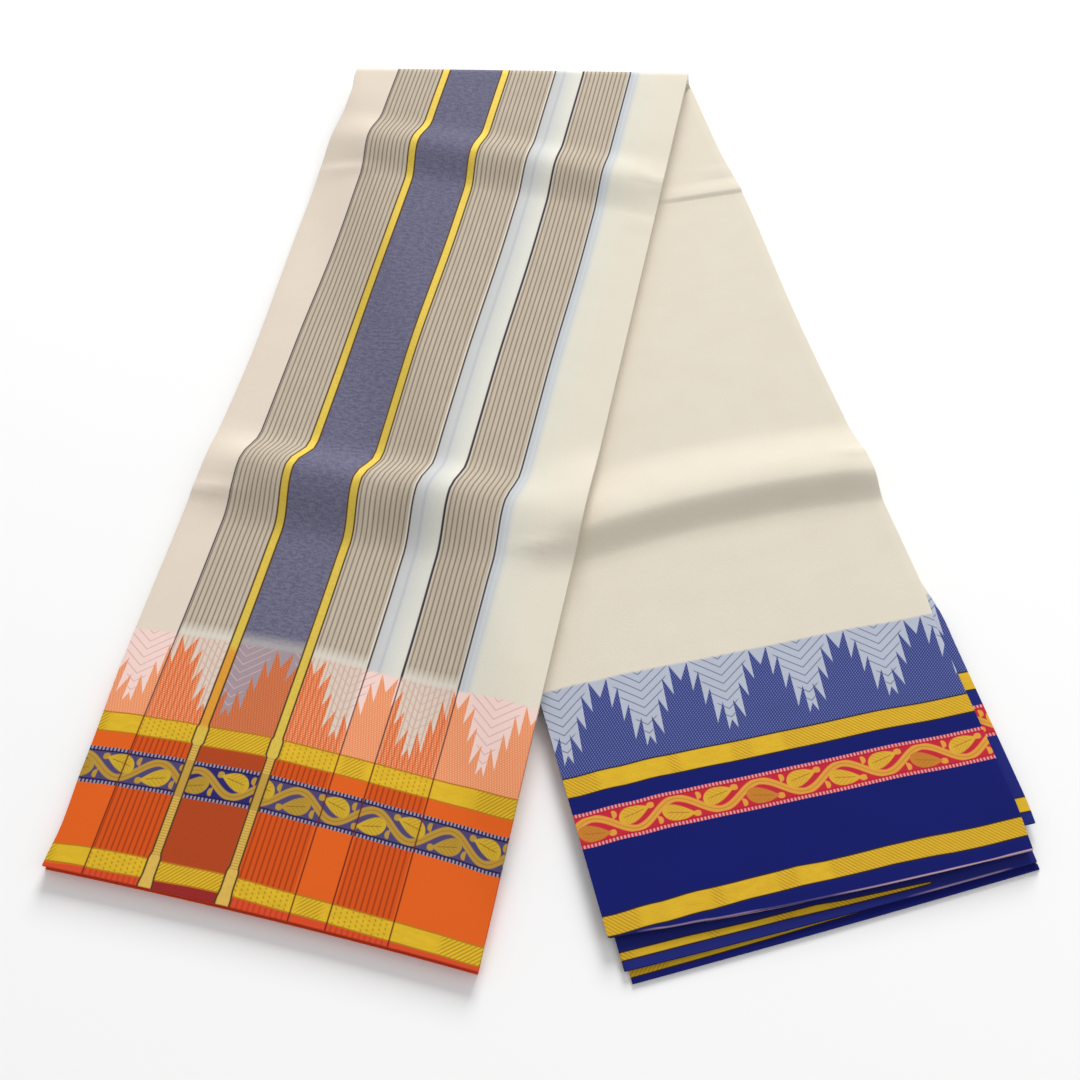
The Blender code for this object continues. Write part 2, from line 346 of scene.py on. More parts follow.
# A number or colour that runs through a material's nodes. Sums and products of it add nodes of their own.
class Thread:
    def __init__(self, loom, socket):
        self.loom = loom
        self.socket = socket

    def __add__(self, other):
        return self.loom.math("ADD", self, other)

    def __sub__(self, other):
        return self.loom.math("SUBTRACT", self, other)

    def __rsub__(self, other):
        return self.loom.math("SUBTRACT", other, self)

    def __mul__(self, other):
        return self.loom.math("MULTIPLY", self, other)


nodeGrid = {"left": -3600, "top": 900, "wide": 170, "high": 150, "rows": 14}


class Loom:
    def __init__(self, name):
        self.material = bpy.data.materials.new(name)
        self.material.use_nodes = True
        self.tree = self.material.node_tree
        self.shader = self.tree.nodes["Principled BSDF"]
        self.count = 0
        attribute = self.add("ShaderNodeAttribute")
        attribute.attribute_name = "weave"
        split = self.add("ShaderNodeSeparateXYZ")
        self.tree.links.new(attribute.outputs["Vector"], split.inputs[0])
        self.across, self.fromLeft, self.fromRight = (Thread(self, out) for out in split.outputs)

    def add(self, kind):
        node = self.tree.nodes.new(kind)
        column, row = divmod(self.count, nodeGrid["rows"])
        left, top = nodeGrid["left"] + nodeGrid["wide"] * column, nodeGrid["top"] - nodeGrid["high"] * row
        node.location = (left, top)
        self.count += 1
        return node

    def feed(self, value, socket):
        if isinstance(value, Thread):
            self.tree.links.new(value.socket, socket)
        else:
            socket.default_value = value

    def math(self, operation, *values, clamp=False):
        node = self.add("ShaderNodeMath")
        node.operation = operation
        node.use_clamp = clamp
        for value, socket in zip(values, node.inputs):
            self.feed(value, socket)
        return Thread(self, node.outputs[0])

    def below(self, value, limit, soft=0.4):  # 1 where value is under the limit
        if isinstance(limit, Thread):
            return self.math("MULTIPLY_ADD", limit - value, 1 / soft, 0.5, clamp=True)
        return self.math("MULTIPLY_ADD", value, -1 / soft, limit / soft + 0.5, clamp=True)

    def line(self, value, centre, width, soft=0.4):
        return self.below(self.math("ABSOLUTE", value - centre), width * 0.5, soft)

    def band(self, value, low, high, soft=0.4):
        return self.line(value, (low + high) * 0.5, high - low, soft)

    def rule(self, value, first, pitch, width, soft=0.4):
        return self.below(self.math("PINGPONG", value - first, pitch / 2), width / 2, soft)

    def either(self, *masks):
        total = masks[0]
        for mask in masks[1:]:
            total = self.math("MAXIMUM", total, mask)
        return total

    def noise(self, acrossScale, alongScale, seed, detail=2.0):
        place = self.add("ShaderNodeCombineXYZ")
        self.feed(self.across * acrossScale, place.inputs[0])
        self.feed(self.fromLeft * alongScale, place.inputs[1])
        place.inputs[2].default_value = seed
        texture = self.add("ShaderNodeTexNoise")
        texture.inputs["Scale"].default_value = 1.0
        texture.inputs["Detail"].default_value = detail
        self.tree.links.new(place.outputs[0], texture.inputs["Vector"])
        return Thread(self, texture.outputs[0])

    def chart(self, value, points):
        # The broken line through the points, level beyond its ends.
        left, right = points[0][0], points[-1][0]
        low, high = min(y for x, y in points), max(y for x, y in points)
        ramp = self.add("ShaderNodeValToRGB")
        stops = ramp.color_ramp.elements
        while len(stops) < len(points):
            stops.new(0.5)
        for stop, (x, y) in zip(stops, points):
            stop.position = (x - left) / (right - left)
            stop.color = ((y - low) / (high - low),) * 3 + (1.0,)
        self.feed((value - left) * (1 / (right - left)), ramp.inputs[0])
        return Thread(self, ramp.outputs[0]) * (high - low) + low

    def mix(self, mask, under, over, blend="MIX"):
        node = self.add("ShaderNodeMix")
        node.data_type = "RGBA"
        node.blend_type = blend
        self.feed(mask, node.inputs[0])
        self.feed(under, node.inputs[6])  # 6, 7 and the output 2 are the sockets for colours
        self.feed(over, node.inputs[7])
        return Thread(self, node.outputs[2])


def dye(red, green, blue):
    # A colour as it is read on a screen, 0 to 255, in the shader's own numbers.
    shares = [value / 255 for value in (red, green, blue)]
    return tuple(((v + 0.055) / 1.055) ** 2.4 if v > 0.04045 else v / 12.92 for v in shares) + (1.0,)


# The end borders, in millimetres: upperZari and margin are places from the cloth's end.
border = {
    "upperZari": (82.1, 92.6),
    "margin": 5.0,
    "outline": 0.8,           # a darker line along each band of gold
    "bead": 1.8,
    "beadLine": 0.9,
    "beadPitch": 1.98,
    "beadWide": 1.0,
}

# One half of a temple, from its axis outwards: share of the half pitch, and how deep the white reaches.
templeChart = [(0.0, 39.5), (0.113, 45.0), (0.122, 28.0), (0.348, 40.0), (0.357, 18.4), (0.539, 27.8),
               (0.548, 7.0), (0.765, 18.3), (0.774, 0.0), (1.0, 10.5)]

# The chevrons inside a temple, charted at the blue border's pitch, and the flecks of the twill around it,
# whose rows and columns are (lean, pitch, width).
templeWeave = {
    "pitch": 46.0,
    "chevronSteep": 0.75,
    "chevronFirst": 2.0,
    "chevronPitch": 5.15,
    "chevronWide": 0.62,
    "insideSteep": 0.41,      # chevrons stop at this slanting line beside the temple's edge
    "insideHalf": 17.5,
    "fleckRows": (0.8, 1.5, 0.8),
    "fleckColumns": (0.25, 1.45, 0.9),
}

# The vine, charted at the blue border's pitch from the middle of a bay. A bay is half a wave of the stem,
# and every second one is turned over.
vineChart = {
    "pitch": 46.0,
    "bay": 23.0,
    "high": 19.4,
    "stemWave": 5.4,
    "stemHalf": 1.75,
    "stemSteep": 0.6,         # the stem is this much wider where it climbs
    "leafBack": 8.4,
    "leafLong": 17.6,
    "leafFull": 12.6,
    "leafLean": 0.2,
    "leafDown": 2.7,
    "rib": (-5.5, 5.5),
    "veined": (-6.0, 3.5),
    "veinPitch": 2.6,
    "budBack": 10.6,
    "budDown": 4.6,
    "budSize": 3.2,
    "sideLeafOn": 9.6,
    "sideLeafDown": 5.0,
    "sideLeafSize": 2.9,
    "tailAt": -12.0,
    "tail": (-3.4, 0.6),
}

# The gold bands' own weave: slanting ribs, and the dots where the striped panel's warp shows through.
zariWeave = {"ribPitch": 2.35, "ribWide": 0.85, "dotLean": 0.5, "dotPitch": 2.5, "dotWide": 1.2}

# The outer band of gold: its lower and upper edge, in millimetres from the cloth's end, at places across
# the cloth. Where the upper edge lies under the lower one, no gold shows.
panelZari = {
    "low": [(-103, 5.1), (-62, 5.4), (-45, 6.4), (-12, 7.5), (3, 7.2), (37, 7.7), (70, 6.6), (105, 7.5)],
    "high": [(-103, 15.1), (-62, 15.9), (-45, 16.1), (-12, 17.5), (3, 16.7), (37, 17.4), (70, 17.0),
             (105, 17.5)],
}
orangeZari = {
    "low": [(-125, 6.8), (-100, 6.4), (-70, 5.0), (-33, 5.0), (14, 3.6), (67, 3.3), (92, 3.3), (118, 4.9)],
    "high": [(-125, 15.4), (-80, 15.5), (-33, 13.9), (14, 12.9), (67, 12.8), (92, 12.7), (118, 14.0)],
}
pliesZari = {
    "low": [(-125, 5.1), (-71, 5.6), (-19, 5.5), (14, 4.6), (50, 4.1), (60, 4.1), (70, 8.0),
            (126, 8.0), (128, 7.1)],
    "high": [(-125, 9.0), (-71, 9.3), (-36, 8.4), (-1, 8.3), (14, 6.9), (50, 5.2), (60, 4.6), (70, 1.0),
             (126, 1.0), (128, 14.8)],
}
lowestZari = {
    "low": [(-248, 8.0), (-240, 4.9), (-228, 4.4), (-202, 4.1), (-185, 3.8), (-150, 3.4),
            (-110, 3.2)],
    "high": [(-248, 1.0), (-240, 8.0), (-110, 8.1)],
}

# Painted highlight along the plies' ends, drawn as a pale line: how far in it lies, and how strong it is,
# across the cloth.
panelEndHighlight = {
    "in": [(t * 1000, 0.2 - bow * 1000) for t, bow in weftBow["right"]],
    "strength": [(-102, 0.0), (-90, 0.4), (-45, 0.4), (-35, 0.1), (0, 0.15), (15, 0.6), (70, 0.85),
                 (114, 0.85)],
}
pliesEndHighlight = {
    "in": [(-125, 0.2), (125, 0.3)],
    "strength": [(45, 0.0), (64, 0.5), (98, 0.45), (106, 0.0)],
}

blueEnd = {
    "base": 145.5, "pitch": 46.0, "axis": -13.7, "lean": -0.106, "flip": 1.0,
    "templeSteps": [], "vineSteps": [], "outerZari": panelZari,
    # edgeHighlight is the pale colour of the painted highlight along a ply's end.
    "edge": None, "edgeHighlight": dye(206, 172, 180),
    "ground": dye(30, 41, 115), "fleck": dye(120, 132, 186), "white": dye(182, 189, 205),
    "chevron": dye(98, 104, 132), "plain": dye(20, 28, 106), "margin": dye(20, 27, 104),
    "zari": dye(226, 186, 44), "zariDark": dye(158, 108, 34), "outline": dye(44, 34, 46), "slant": 1.0,
    "vineGround": dye(196, 42, 60), "vine": dye(222, 158, 66), "leaf": dye(220, 172, 56),
    "leafDark": dye(198, 126, 50), "bead": dye(228, 160, 168), "vineLine": dye(186, 34, 48),
    "beadShare": 1.0,
    "vineBand": (52.6, 72.0), "vinePitch": 46.0, "vineCrest": -16.0,
    "zariStretches": [(4.0, 130.0), (-25.0, -12.0), (-60.0, -52.0), (-130.0, -97.0)],
}
orangeEnd = {
    "base": 145.5, "pitch": 40.8, "axis": 13.3, "lean": 0.0, "flip": -1.0,
    "templeSteps": [(-14.0, 22.0), (-54.5, -12.8)], "vineSteps": [(-14.0, 26.8), (-54.5, 20.1)],
    "outerZari": orangeZari, "edge": None,
    "ground": dye(228, 102, 46), "fleck": dye(246, 184, 140), "white": dye(244, 214, 206),
    "stripeWhite": dye(222, 204, 188), "stripeLine": dye(190, 136, 112), "indigoWhite": dye(160, 132, 146),
    "chevron": dye(216, 172, 168), "plain": dye(226, 98, 32), "margin": dye(216, 76, 42),
    "zari": dye(234, 193, 46), "zariDark": dye(138, 98, 20), "outline": dye(180, 120, 30), "slant": -1.0,
    "vineGround": dye(44, 40, 108), "vineHaze": dye(106, 92, 118), "vine": dye(184, 144, 58),
    "leaf": dye(205, 169, 48), "leafDark": dye(180, 144, 52), "bead": dye(168, 158, 172),
    "vineLine": dye(34, 28, 82), "beadShare": 0.9,
    "vineBand": (50.9, 72.2), "vinePitch": 40.8, "vineCrest": 6.5,
    "zariStretches": [(-54.0, -14.0), (22.0, 36.0), (96.0, 130.0), (-130.0, -104.0)],
}

# What differs in the blue border on the top cloth, on the plies under it and on the lowest cloth. The top
# cloth and the plies carry a painted highlight along their ends. The plies' plain and margin navy is lighter,
# which is painted light offsetting the shade under the top cloth's end.
panelLook = {"edge": panelEndHighlight}
pliesLook = {"outerZari": pliesZari, "edge": pliesEndHighlight, "plain": dye(32, 39, 116), "margin": dye(34, 41, 118)}
lowestLook = {"outerZari": lowestZari}


def chartAcross(loom, across, steps):
    # Where a border's chart is across the cloth: it skips ahead under each lengthwise band of gold.
    chart = across
    for at, step in steps:
        chart = chart - loom.below(across, at, 4.0) * step
    return chart


def templeColour(loom, body, base, across, look, crossing):
    # White stepped temples with chevron lines, hanging from the body into a twill ground.
    half = look["pitch"] / 2
    chart = chartAcross(loom, across, look["templeSteps"])
    fromAxis = loom.math("PINGPONG", chart - look["axis"] - base * look["lean"], half)
    white = loom.below(base, loom.chart(fromAxis * (1 / half), templeChart), 1.0)
    squeezed = fromAxis * (templeWeave["pitch"] / look["pitch"])
    arrow = base + squeezed * templeWeave["chevronSteep"]
    inside = loom.below(squeezed + base * templeWeave["insideSteep"], templeWeave["insideHalf"], 1.0)
    chevrons = loom.rule(arrow, templeWeave["chevronFirst"], templeWeave["chevronPitch"],
                         templeWeave["chevronWide"], 0.6)
    chevron = chevrons * inside
    lean, pitch, width = templeWeave["fleckRows"]
    rows = loom.rule(across * lean + base, 0.0, pitch, width, 0.6)
    lean, pitch, width = templeWeave["fleckColumns"]
    columns = loom.rule(across - base * lean, 0.0, pitch, width, 0.6)
    ground = loom.mix(rows * columns, look["ground"], look["fleck"])
    cloth = look["white"]
    if crossing:
        cloth = loom.mix(crossing["zones"], cloth, loom.mix(0.3, look["stripeWhite"], body))
        cloth = loom.mix(crossing["lines"] * 0.55, cloth, look["stripeLine"])
        cloth = loom.mix(crossing["indigo"], cloth, loom.mix(0.45, look["indigoWhite"], body))
        ground = loom.mix(crossing["lines"] * 0.45, ground, crossing["lineDye"])
        ground = loom.mix(crossing["indigo"] * 0.6, ground, crossing["twillIndigoDye"])
        creamPart = loom.below(loom.either(crossing["zones"], crossing["indigo"]), 0.5, 1.0)
        ground = loom.mix(creamPart * 0.35, ground, look["fleck"])
    cloth = loom.mix(chevron, cloth, look["chevron"])
    return loom.mix(white, ground, cloth)


def vineColour(loom, depth, across, look, crossing):
    # A waving stem with a leaf in each bay, between two rows of beads.
    low, high = look["vineBand"]
    scale = vineChart["pitch"] / look["vinePitch"]
    x = (chartAcross(loom, across, look["vineSteps"]) - look["vineCrest"]) * (look["flip"] * scale)
    offMiddle = depth - (low + high) / 2
    y = offMiddle * (vineChart["high"] / (high - low))
    bay = loom.math("FLOOR", (x + vineChart["bay"] / 2) * (1 / vineChart["bay"]))
    odd = loom.math("FLOORED_MODULO", bay, 2.0)
    inBay = x - bay * vineChart["bay"]
    up = y * (1.0 - odd * 2.0)

    turn = inBay * (pi / vineChart["bay"])
    slope = loom.math("ABSOLUTE", loom.math("SINE", turn))
    fromStem = loom.math("ABSOLUTE", up - loom.math("COSINE", turn) * vineChart["stemWave"])
    stem = loom.below(fromStem, slope * vineChart["stemSteep"] + vineChart["stemHalf"], 0.7)

    inLeaf = loom.math("MAXIMUM", (inBay + vineChart["leafBack"]) * (1 / vineChart["leafLong"]), 0.0)
    halfLeaf = loom.math("SQRT", inLeaf) * (1.0 - inLeaf) * vineChart["leafFull"]
    fromMiddle = loom.math("ABSOLUTE", up + inBay * vineChart["leafLean"] + vineChart["leafDown"])
    leaf = loom.below(fromMiddle, halfLeaf - 0.2, 0.7)
    rib = loom.below(fromMiddle, 0.2, 0.4) * loom.band(inBay, *vineChart["rib"], 1.0)
    veinRows = loom.rule(inBay + fromMiddle * 1.2, 0.0, vineChart["veinPitch"], 0.5, 0.5)
    veins = veinRows * loom.band(inBay, *vineChart["veined"], 1.0) * 0.5

    budAlong = loom.math("POWER", inBay + vineChart["budBack"], 2.0)
    budUp = loom.math("POWER", up + vineChart["budDown"], 2.0)
    bud = loom.below(budAlong + budUp * 0.7, vineChart["budSize"], 1.6)
    sideAlong = loom.math("POWER", inBay - vineChart["sideLeafOn"], 2.0)
    sideUp = loom.math("POWER", up + vineChart["sideLeafDown"], 2.0)
    sideLeaf = loom.below(sideAlong * 0.6 + sideUp, vineChart["sideLeafSize"], 1.6)
    tail = loom.line(inBay + up * 0.3, vineChart["tailAt"], 1.2, 0.6) * loom.band(up, *vineChart["tail"], 0.8)

    ground = look["vineGround"]
    if crossing:
        ground = loom.mix(loom.below(crossing["indigo"], 0.5, 1.0) * 0.45, ground, look["vineHaze"])
    colour = loom.mix(loom.either(stem, bud, tail, sideLeaf), ground, look["vine"])
    colour = loom.mix(loom.below(fromStem, 0.25, 0.4) * 0.6, colour, look["zariDark"])
    fourth = loom.math("FLOORED_MODULO", bay, 4.0)
    leafDye = loom.mix(loom.below(fourth, 0.5, 0.1), look["leaf"], look["leafDark"])
    leafDye = loom.mix(loom.either(rib, veins), leafDye, look["zariDark"])
    colour = loom.mix(leaf, colour, leafDye)
    fromEdge = (high - low) / 2 - loom.math("ABSOLUTE", offMiddle)
    beadGround = loom.below(fromEdge, border["bead"] + border["beadLine"], 0.4)
    colour = loom.mix(beadGround, colour, look["vineLine"])
    beadRow = loom.rule(across, 0.0, border["beadPitch"], border["beadWide"], 0.5)
    beads = beadRow * loom.below(fromEdge, border["bead"], 0.4)
    return loom.mix(beads * look["beadShare"], colour, look["bead"])


def zariColour(loom, depth, across, look, dots):
    # Gold thread, with ribs only in the stretches that zariStretches names.
    stretches = loom.either(*[loom.band(across, low, high, 5.0) for low, high in look["zariStretches"]])
    slanting = depth + across * look["slant"]
    twill = loom.rule(slanting, 0.0, zariWeave["ribPitch"], zariWeave["ribWide"], 0.7) * stretches
    worn = loom.noise(0.12, 0.3, 7.0) * 0.35
    colour = loom.mix(loom.either(twill * 0.75, worn), look["zari"], look["zariDark"])
    if dots is not None:
        leaning = depth + across * zariWeave["dotLean"]
        weft = loom.rule(leaning, 0.0, zariWeave["dotPitch"], zariWeave["dotWide"], 0.8)
        colour = loom.mix(dots * weft * 0.65, colour, look["zariDark"])
    return colour


def weaveBorder(loom, body, depth, look, crossing=None):
    # One end border over the body: temples, plain ground, two bands of gold, the vine and the last margin.
    # crossing holds the stripes' masks and dyes, where the striped panel runs into it.
    across = loom.across
    base = look["base"] - depth
    start = loom.below(depth, look["base"], 1.6)
    if crossing:
        faded = loom.below(depth, look["base"] + 6.0, 7.0) * 0.8
        fadedPart = faded * loom.either(crossing["zones"], crossing["indigo"] * 0.5)
        body = loom.mix(fadedPart, body, crossing["fadedDye"])
    colour = loom.mix(start, body, templeColour(loom, body, base, across, look, crossing))
    plain = look["plain"]
    if crossing:
        plain = loom.mix(crossing["zones"], plain, crossing["zoneDye"])
        plain = loom.mix(crossing["lines"], plain, crossing["lineDye"])
        plain = loom.mix(crossing["indigo"], plain, crossing["indigoDye"])
    else:
        plain = loom.mix(loom.noise(0.02, 0.6, 3.0) * 0.25, plain, look["margin"])
    colour = loom.mix(loom.below(depth, border["upperZari"][0], 0.5), colour, plain)
    margin = look["margin"]
    if crossing:
        margin = loom.mix(crossing["lines"] * 0.7, margin, crossing["marginLineDye"])
        margin = loom.mix(crossing["indigo"], margin, crossing["marginIndigoDye"])
    colour = loom.mix(loom.below(depth, border["margin"], 0.6), colour, margin)
    zari = zariColour(loom, depth, across, look, crossing["lines"] if crossing else None)
    masks = []
    outer = [loom.chart(across, look["outerZari"][edge]) for edge in ("low", "high")]
    for low, high in (border["upperZari"], outer):
        outline = loom.band(depth, low - border["outline"], high + border["outline"], 0.4)
        mask = loom.band(depth, low, high, 0.5)
        colour = loom.mix(mask, loom.mix(outline, colour, look["outline"]), zari)
        masks.append(mask)
    vine = loom.band(depth, *look["vineBand"], 0.4)
    colour = loom.mix(vine, colour, vineColour(loom, depth, across, look, crossing))
    # A pale line of painted highlight along the ply's end, where the edge catches the light.
    if look["edge"]:
        highlightLine = loom.line(depth, loom.chart(across, look["edge"]["in"]), 0.9, 0.5)
        colour = loom.mix(highlightLine * loom.chart(across, look["edge"]["strength"]), colour, look["edgeHighlight"])
    return colour, loom.either(*masks)


# The striped panel, in millimetres across the cloth from the strip's middle. A zone of fine lines is
# (left, right, a line's place, pitch), and a dark line is (middle, width).
stripes = {
    "cream": dye(228, 220, 204), "warmCream": dye(228, 215, 199), "paleCream": dye(225, 221, 206),
    "creamStreak": dye(222, 214, 196),
    "tan": dye(184, 170, 150), "tanLight": dye(208, 197, 178), "tanLine": dye(108, 92, 84),
    "zones": [(-86.6, -57.6, -83.4, 2.9), (-11.0, 18.8, -9.7, 2.95), (40.8, 70.8, 42.05, 2.95)],
    "indigoZone": (-51.8, -17.0), "indigo": dye(107, 105, 128), "indigoSlub": dye(132, 131, 150),
    "indigoDark": dye(78, 78, 108),
    "darkLines": [(-87.2, 0.9), (20.2, 1.1), (39.6, 1.5), (71.9, 1.1)],
    "darkInBorder": [(-87.2, 0.75), (20.2, 0.75), (39.6, 0.8), (71.9, 0.75)],
    "dark": dye(66, 58, 66),
    "zari": [-54.55, -14.05], "betweenZari": -34.0, "zariDye": dye(224, 197, 82),
    "zariEdge": dye(80, 56, 34), "zariPale": dye(228, 190, 92), "zariOrange": dye(230, 150, 50),
    "paleZone": (20.8, 39.0), "paleFrom": 22.0, "paleOver": 14.0, "paleLine": 26.7,
    "paleBlue": dye(199, 201, 202), "white": dye(224, 223, 213),
    "paleEdge": (72.0, 92.0), "shadeZone": (71.0, 78.4), "shadeLines": (74.0, 77.0),
    "blur": dye(172, 180, 192), "shade": dye(204, 209, 214),
}

# What the stripes' warp does to the orange weft where it crosses the end border.
crossingDyes = {
    "zoneDye": dye(212, 84, 28), "lineDye": dye(158, 58, 20), "indigoDye": dye(176, 70, 32),
    "twillIndigoDye": dye(180, 95, 56), "marginLineDye": dye(176, 52, 34),
    "marginIndigoDye": dye(150, 42, 40), "fadedDye": dye(226, 219, 208),
    "darkInTemples": dye(92, 56, 58), "darkInPlain": dye(104, 34, 24), "templeDeep": 52.0,
}


def stripedBody(loom):
    u = loom.across
    colour = loom.mix(loom.below(u, 0.0), stripes["cream"], stripes["warmCream"])
    colour = loom.mix(loom.band(u, *stripes["paleEdge"], 12.0), colour, stripes["paleCream"])
    start, over = stripes["paleFrom"], stripes["paleOver"]
    whiter = loom.math("MULTIPLY_ADD", u, 1 / over, -start / over, clamp=True)
    pale = loom.mix(whiter, stripes["paleBlue"], stripes["white"])
    pale = loom.mix(loom.line(u, stripes["paleLine"], 1.6, 1.4) * 0.5, pale, stripes["blur"])
    colour = loom.mix(loom.band(u, *stripes["paleZone"], 0.6), colour, pale)
    colour = loom.mix(loom.band(u, *stripes["shadeZone"], 4.5) * 0.8, colour, stripes["shade"])
    strong, faint = stripes["shadeLines"]
    blur = loom.either(loom.line(u, strong, 1.4, 2.2), loom.line(u, faint, 1.0, 2.2) * 0.6)
    colour = loom.mix(blur * 0.55, colour, stripes["blur"])
    allLines, allZones = [], []
    for low, high, first, pitch in stripes["zones"]:
        zone = loom.band(u, low, high, 0.5)
        allZones.append(zone)
        allLines.append(loom.rule(u, first, pitch, 0.8, 0.7) * zone)
    zones, lines = loom.either(*allZones), loom.either(*allLines)
    tan = loom.mix(loom.noise(0.9, 0.06, 1.0), stripes["tan"], stripes["tanLight"])
    colour = loom.mix(zones, colour, tan)
    colour = loom.mix(lines * 0.8, colour, stripes["tanLine"])
    indigo = loom.band(u, *stripes["indigoZone"], 0.4)
    heather = loom.noise(0.8, 0.9, 2.0, 3.0) + loom.noise(0.25, 0.6, 8.0, 2.0)
    slub = loom.math("MULTIPLY_ADD", heather, 3.0, -2.5, clamp=True)
    indigoDye = loom.mix(slub, stripes["indigoDark"], stripes["indigoSlub"])
    indigoDye = loom.mix(0.62, indigoDye, stripes["indigo"])
    colour = loom.mix(indigo, colour, indigoDye)
    return colour, {"lines": lines, "zones": zones, "indigo": indigo, **crossingDyes}


# The two lengthwise bands of gold. Over the orange border they change width and get ribs.
goldColumn = {
    "halfWide": 2.1,
    "edge": 0.95,             # a dark line on either side
    "narrowBy": 0.2,          # in the border's lower part
    "widenBy": 0.75,          # over the upper gold band, and below outerTop
    "outerTop": 17.5,
    "hem": 4.0,
    "widenAtHem": 0.6,
    "ribsFrom": 17.0,
    "ribPitch": 1.5,
    "ribWide": 0.7,
}


def goldColumns(loom):
    depth = loom.fromLeft
    inBorder = loom.below(depth, border["upperZari"][0], 1.5)
    overZari = loom.either(loom.band(depth, *border["upperZari"], 2.0),
                           loom.below(depth, goldColumn["outerTop"], 3.0))
    halfWide = goldColumn["halfWide"] - inBorder * goldColumn["narrowBy"] + overZari * goldColumn["widenBy"]
    halfWide = halfWide + loom.below(depth, goldColumn["hem"], 5.0) * goldColumn["widenAtHem"]
    fromColumn = loom.math("MINIMUM", *[loom.math("ABSOLUTE", loom.across - at) for at in stripes["zari"]])
    gold = loom.below(fromColumn, halfWide, 0.5)
    edges = loom.below(fromColumn, halfWide + goldColumn["edge"], 0.5)
    return gold, edges, inBorder


# The cotton's surface. halfThread is in millimetres, and strength and distance are the bump's own values.
cottonRelief = {"halfThread": 0.26, "strength": 0.25, "distance": 0.0003, "rough": 0.86, "goldSmoother": -0.3,
                "goldMetal": 0.18, "sheen": 0.02, "sheenRough": 0.4, "shine": 0.08}

# How unevenly each cloth is coloured: the share of the blotches, and their dye.
blotches = {
    "striped_cotton": (0.22, dye(226, 220, 212)),
    "cream_cotton": (0.25, dye(222, 214, 204)),
    "blue_border_cotton": (0.30, dye(222, 214, 204)),
}


def finishCloth(loom, colour, zari, blotch):
    # Weave and slub relief, soft cotton fuzz, and the harder shine of the gold thread.
    share, blotchDye = blotch
    shade = loom.mix(loom.noise(0.035, 0.05, 11.0) * share, colour, blotchDye, "MULTIPLY")
    warp = loom.math("PINGPONG", loom.across, cottonRelief["halfThread"])
    weft = loom.math("PINGPONG", loom.fromLeft, cottonRelief["halfThread"])
    slubs = loom.noise(0.25, 2.6, 5.0, 1.0) + loom.noise(2.4, 0.2, 6.0, 1.0)
    height = loom.math("MULTIPLY_ADD", warp + weft, 0.9, slubs)
    bump = loom.add("ShaderNodeBump")
    bump.inputs["Strength"].default_value = cottonRelief["strength"]
    bump.inputs["Distance"].default_value = cottonRelief["distance"]
    loom.feed(height, bump.inputs["Height"])
    loom.feed(shade, loom.shader.inputs["Base Color"])
    roughness = zari * cottonRelief["goldSmoother"] + cottonRelief["rough"]
    loom.feed(roughness, loom.shader.inputs["Roughness"])
    loom.feed(zari * cottonRelief["goldMetal"], loom.shader.inputs["Metallic"])
    loom.tree.links.new(bump.outputs[0], loom.shader.inputs["Normal"])
    loom.shader.inputs["Sheen Weight"].default_value = cottonRelief["sheen"]
    loom.shader.inputs["Sheen Roughness"].default_value = cottonRelief["sheenRough"]
    loom.shader.inputs["Specular IOR Level"].default_value = cottonRelief["shine"]
    return loom.material


def stripedCotton():
    loom = Loom("striped_cotton")
    body, crossing = stripedBody(loom)
    colour, leftZari = weaveBorder(loom, body, loom.fromLeft, orangeEnd, crossing)
    gold, edges, inBorder = goldColumns(loom)
    darkLines = []
    for key in ("darkLines", "darkInBorder"):
        threads = [loom.line(loom.across, centre, width, 0.6) for centre, width in stripes[key]]
        darkLines.append(loom.either(*threads))
    thick, thin = darkLines
    inOrange = loom.below(loom.fromLeft, orangeEnd["base"], 4.0)
    inTemples = loom.below(orangeEnd["base"] - loom.fromLeft, crossingDyes["templeDeep"], 2.0)
    darkInBorder = loom.mix(inTemples, crossingDyes["darkInPlain"], crossingDyes["darkInTemples"])
    darkDye = loom.mix(inOrange, stripes["dark"], darkInBorder)
    colour = loom.mix(loom.mix(inOrange, thick, thin), colour, darkDye)
    ribRows = loom.rule(loom.fromLeft, 0.0, goldColumn["ribPitch"], goldColumn["ribWide"], 0.5)
    ribs = ribRows * loom.band(loom.fromLeft, goldColumn["ribsFrom"], border["upperZari"][0], 2.0)
    twillZone = loom.band(loom.fromLeft, border["upperZari"][1], orangeEnd["base"] - 4.0, 4.0)
    firstColumn = loom.below(loom.across, stripes["betweenZari"], 1.0)
    goldDye = loom.mix(inBorder, stripes["zariDye"], stripes["zariPale"])
    goldDye = loom.mix(twillZone * firstColumn * 0.8, goldDye, stripes["zariOrange"])
    overVine = loom.band(loom.fromLeft, *orangeEnd["vineBand"], 1.0)
    worn = loom.noise(0.5, 0.4, 9.0)
    goldDye = loom.mix(loom.either(ribs * 0.55, worn * 0.3, overVine * 0.5), goldDye, orangeEnd["zariDark"])
    colour = loom.mix(edges, colour, stripes["zariEdge"])
    colour = loom.mix(gold, colour, goldDye)
    blue, rightZari = weaveBorder(loom, colour, loom.fromRight, {**blueEnd, **lowestLook})
    inBlue = loom.below(loom.fromRight, blueEnd["base"], 1.0)
    colour = loom.mix(inBlue, colour, blue)
    return finishCloth(loom, colour, loom.either(leftZari, rightZari, gold), blotches["striped_cotton"])


def creamCotton(name, borderLook):
    loom = Loom(name)
    body = loom.mix(loom.noise(0.02, 0.9, 4.0) * 0.5, stripes["cream"], stripes["creamStreak"])
    colour, leftZari = weaveBorder(loom, body, loom.fromLeft, orangeEnd)
    colour, rightZari = weaveBorder(loom, colour, loom.fromRight, {**blueEnd, **borderLook})
    return finishCloth(loom, colour, loom.either(leftZari, rightZari), blotches[name])


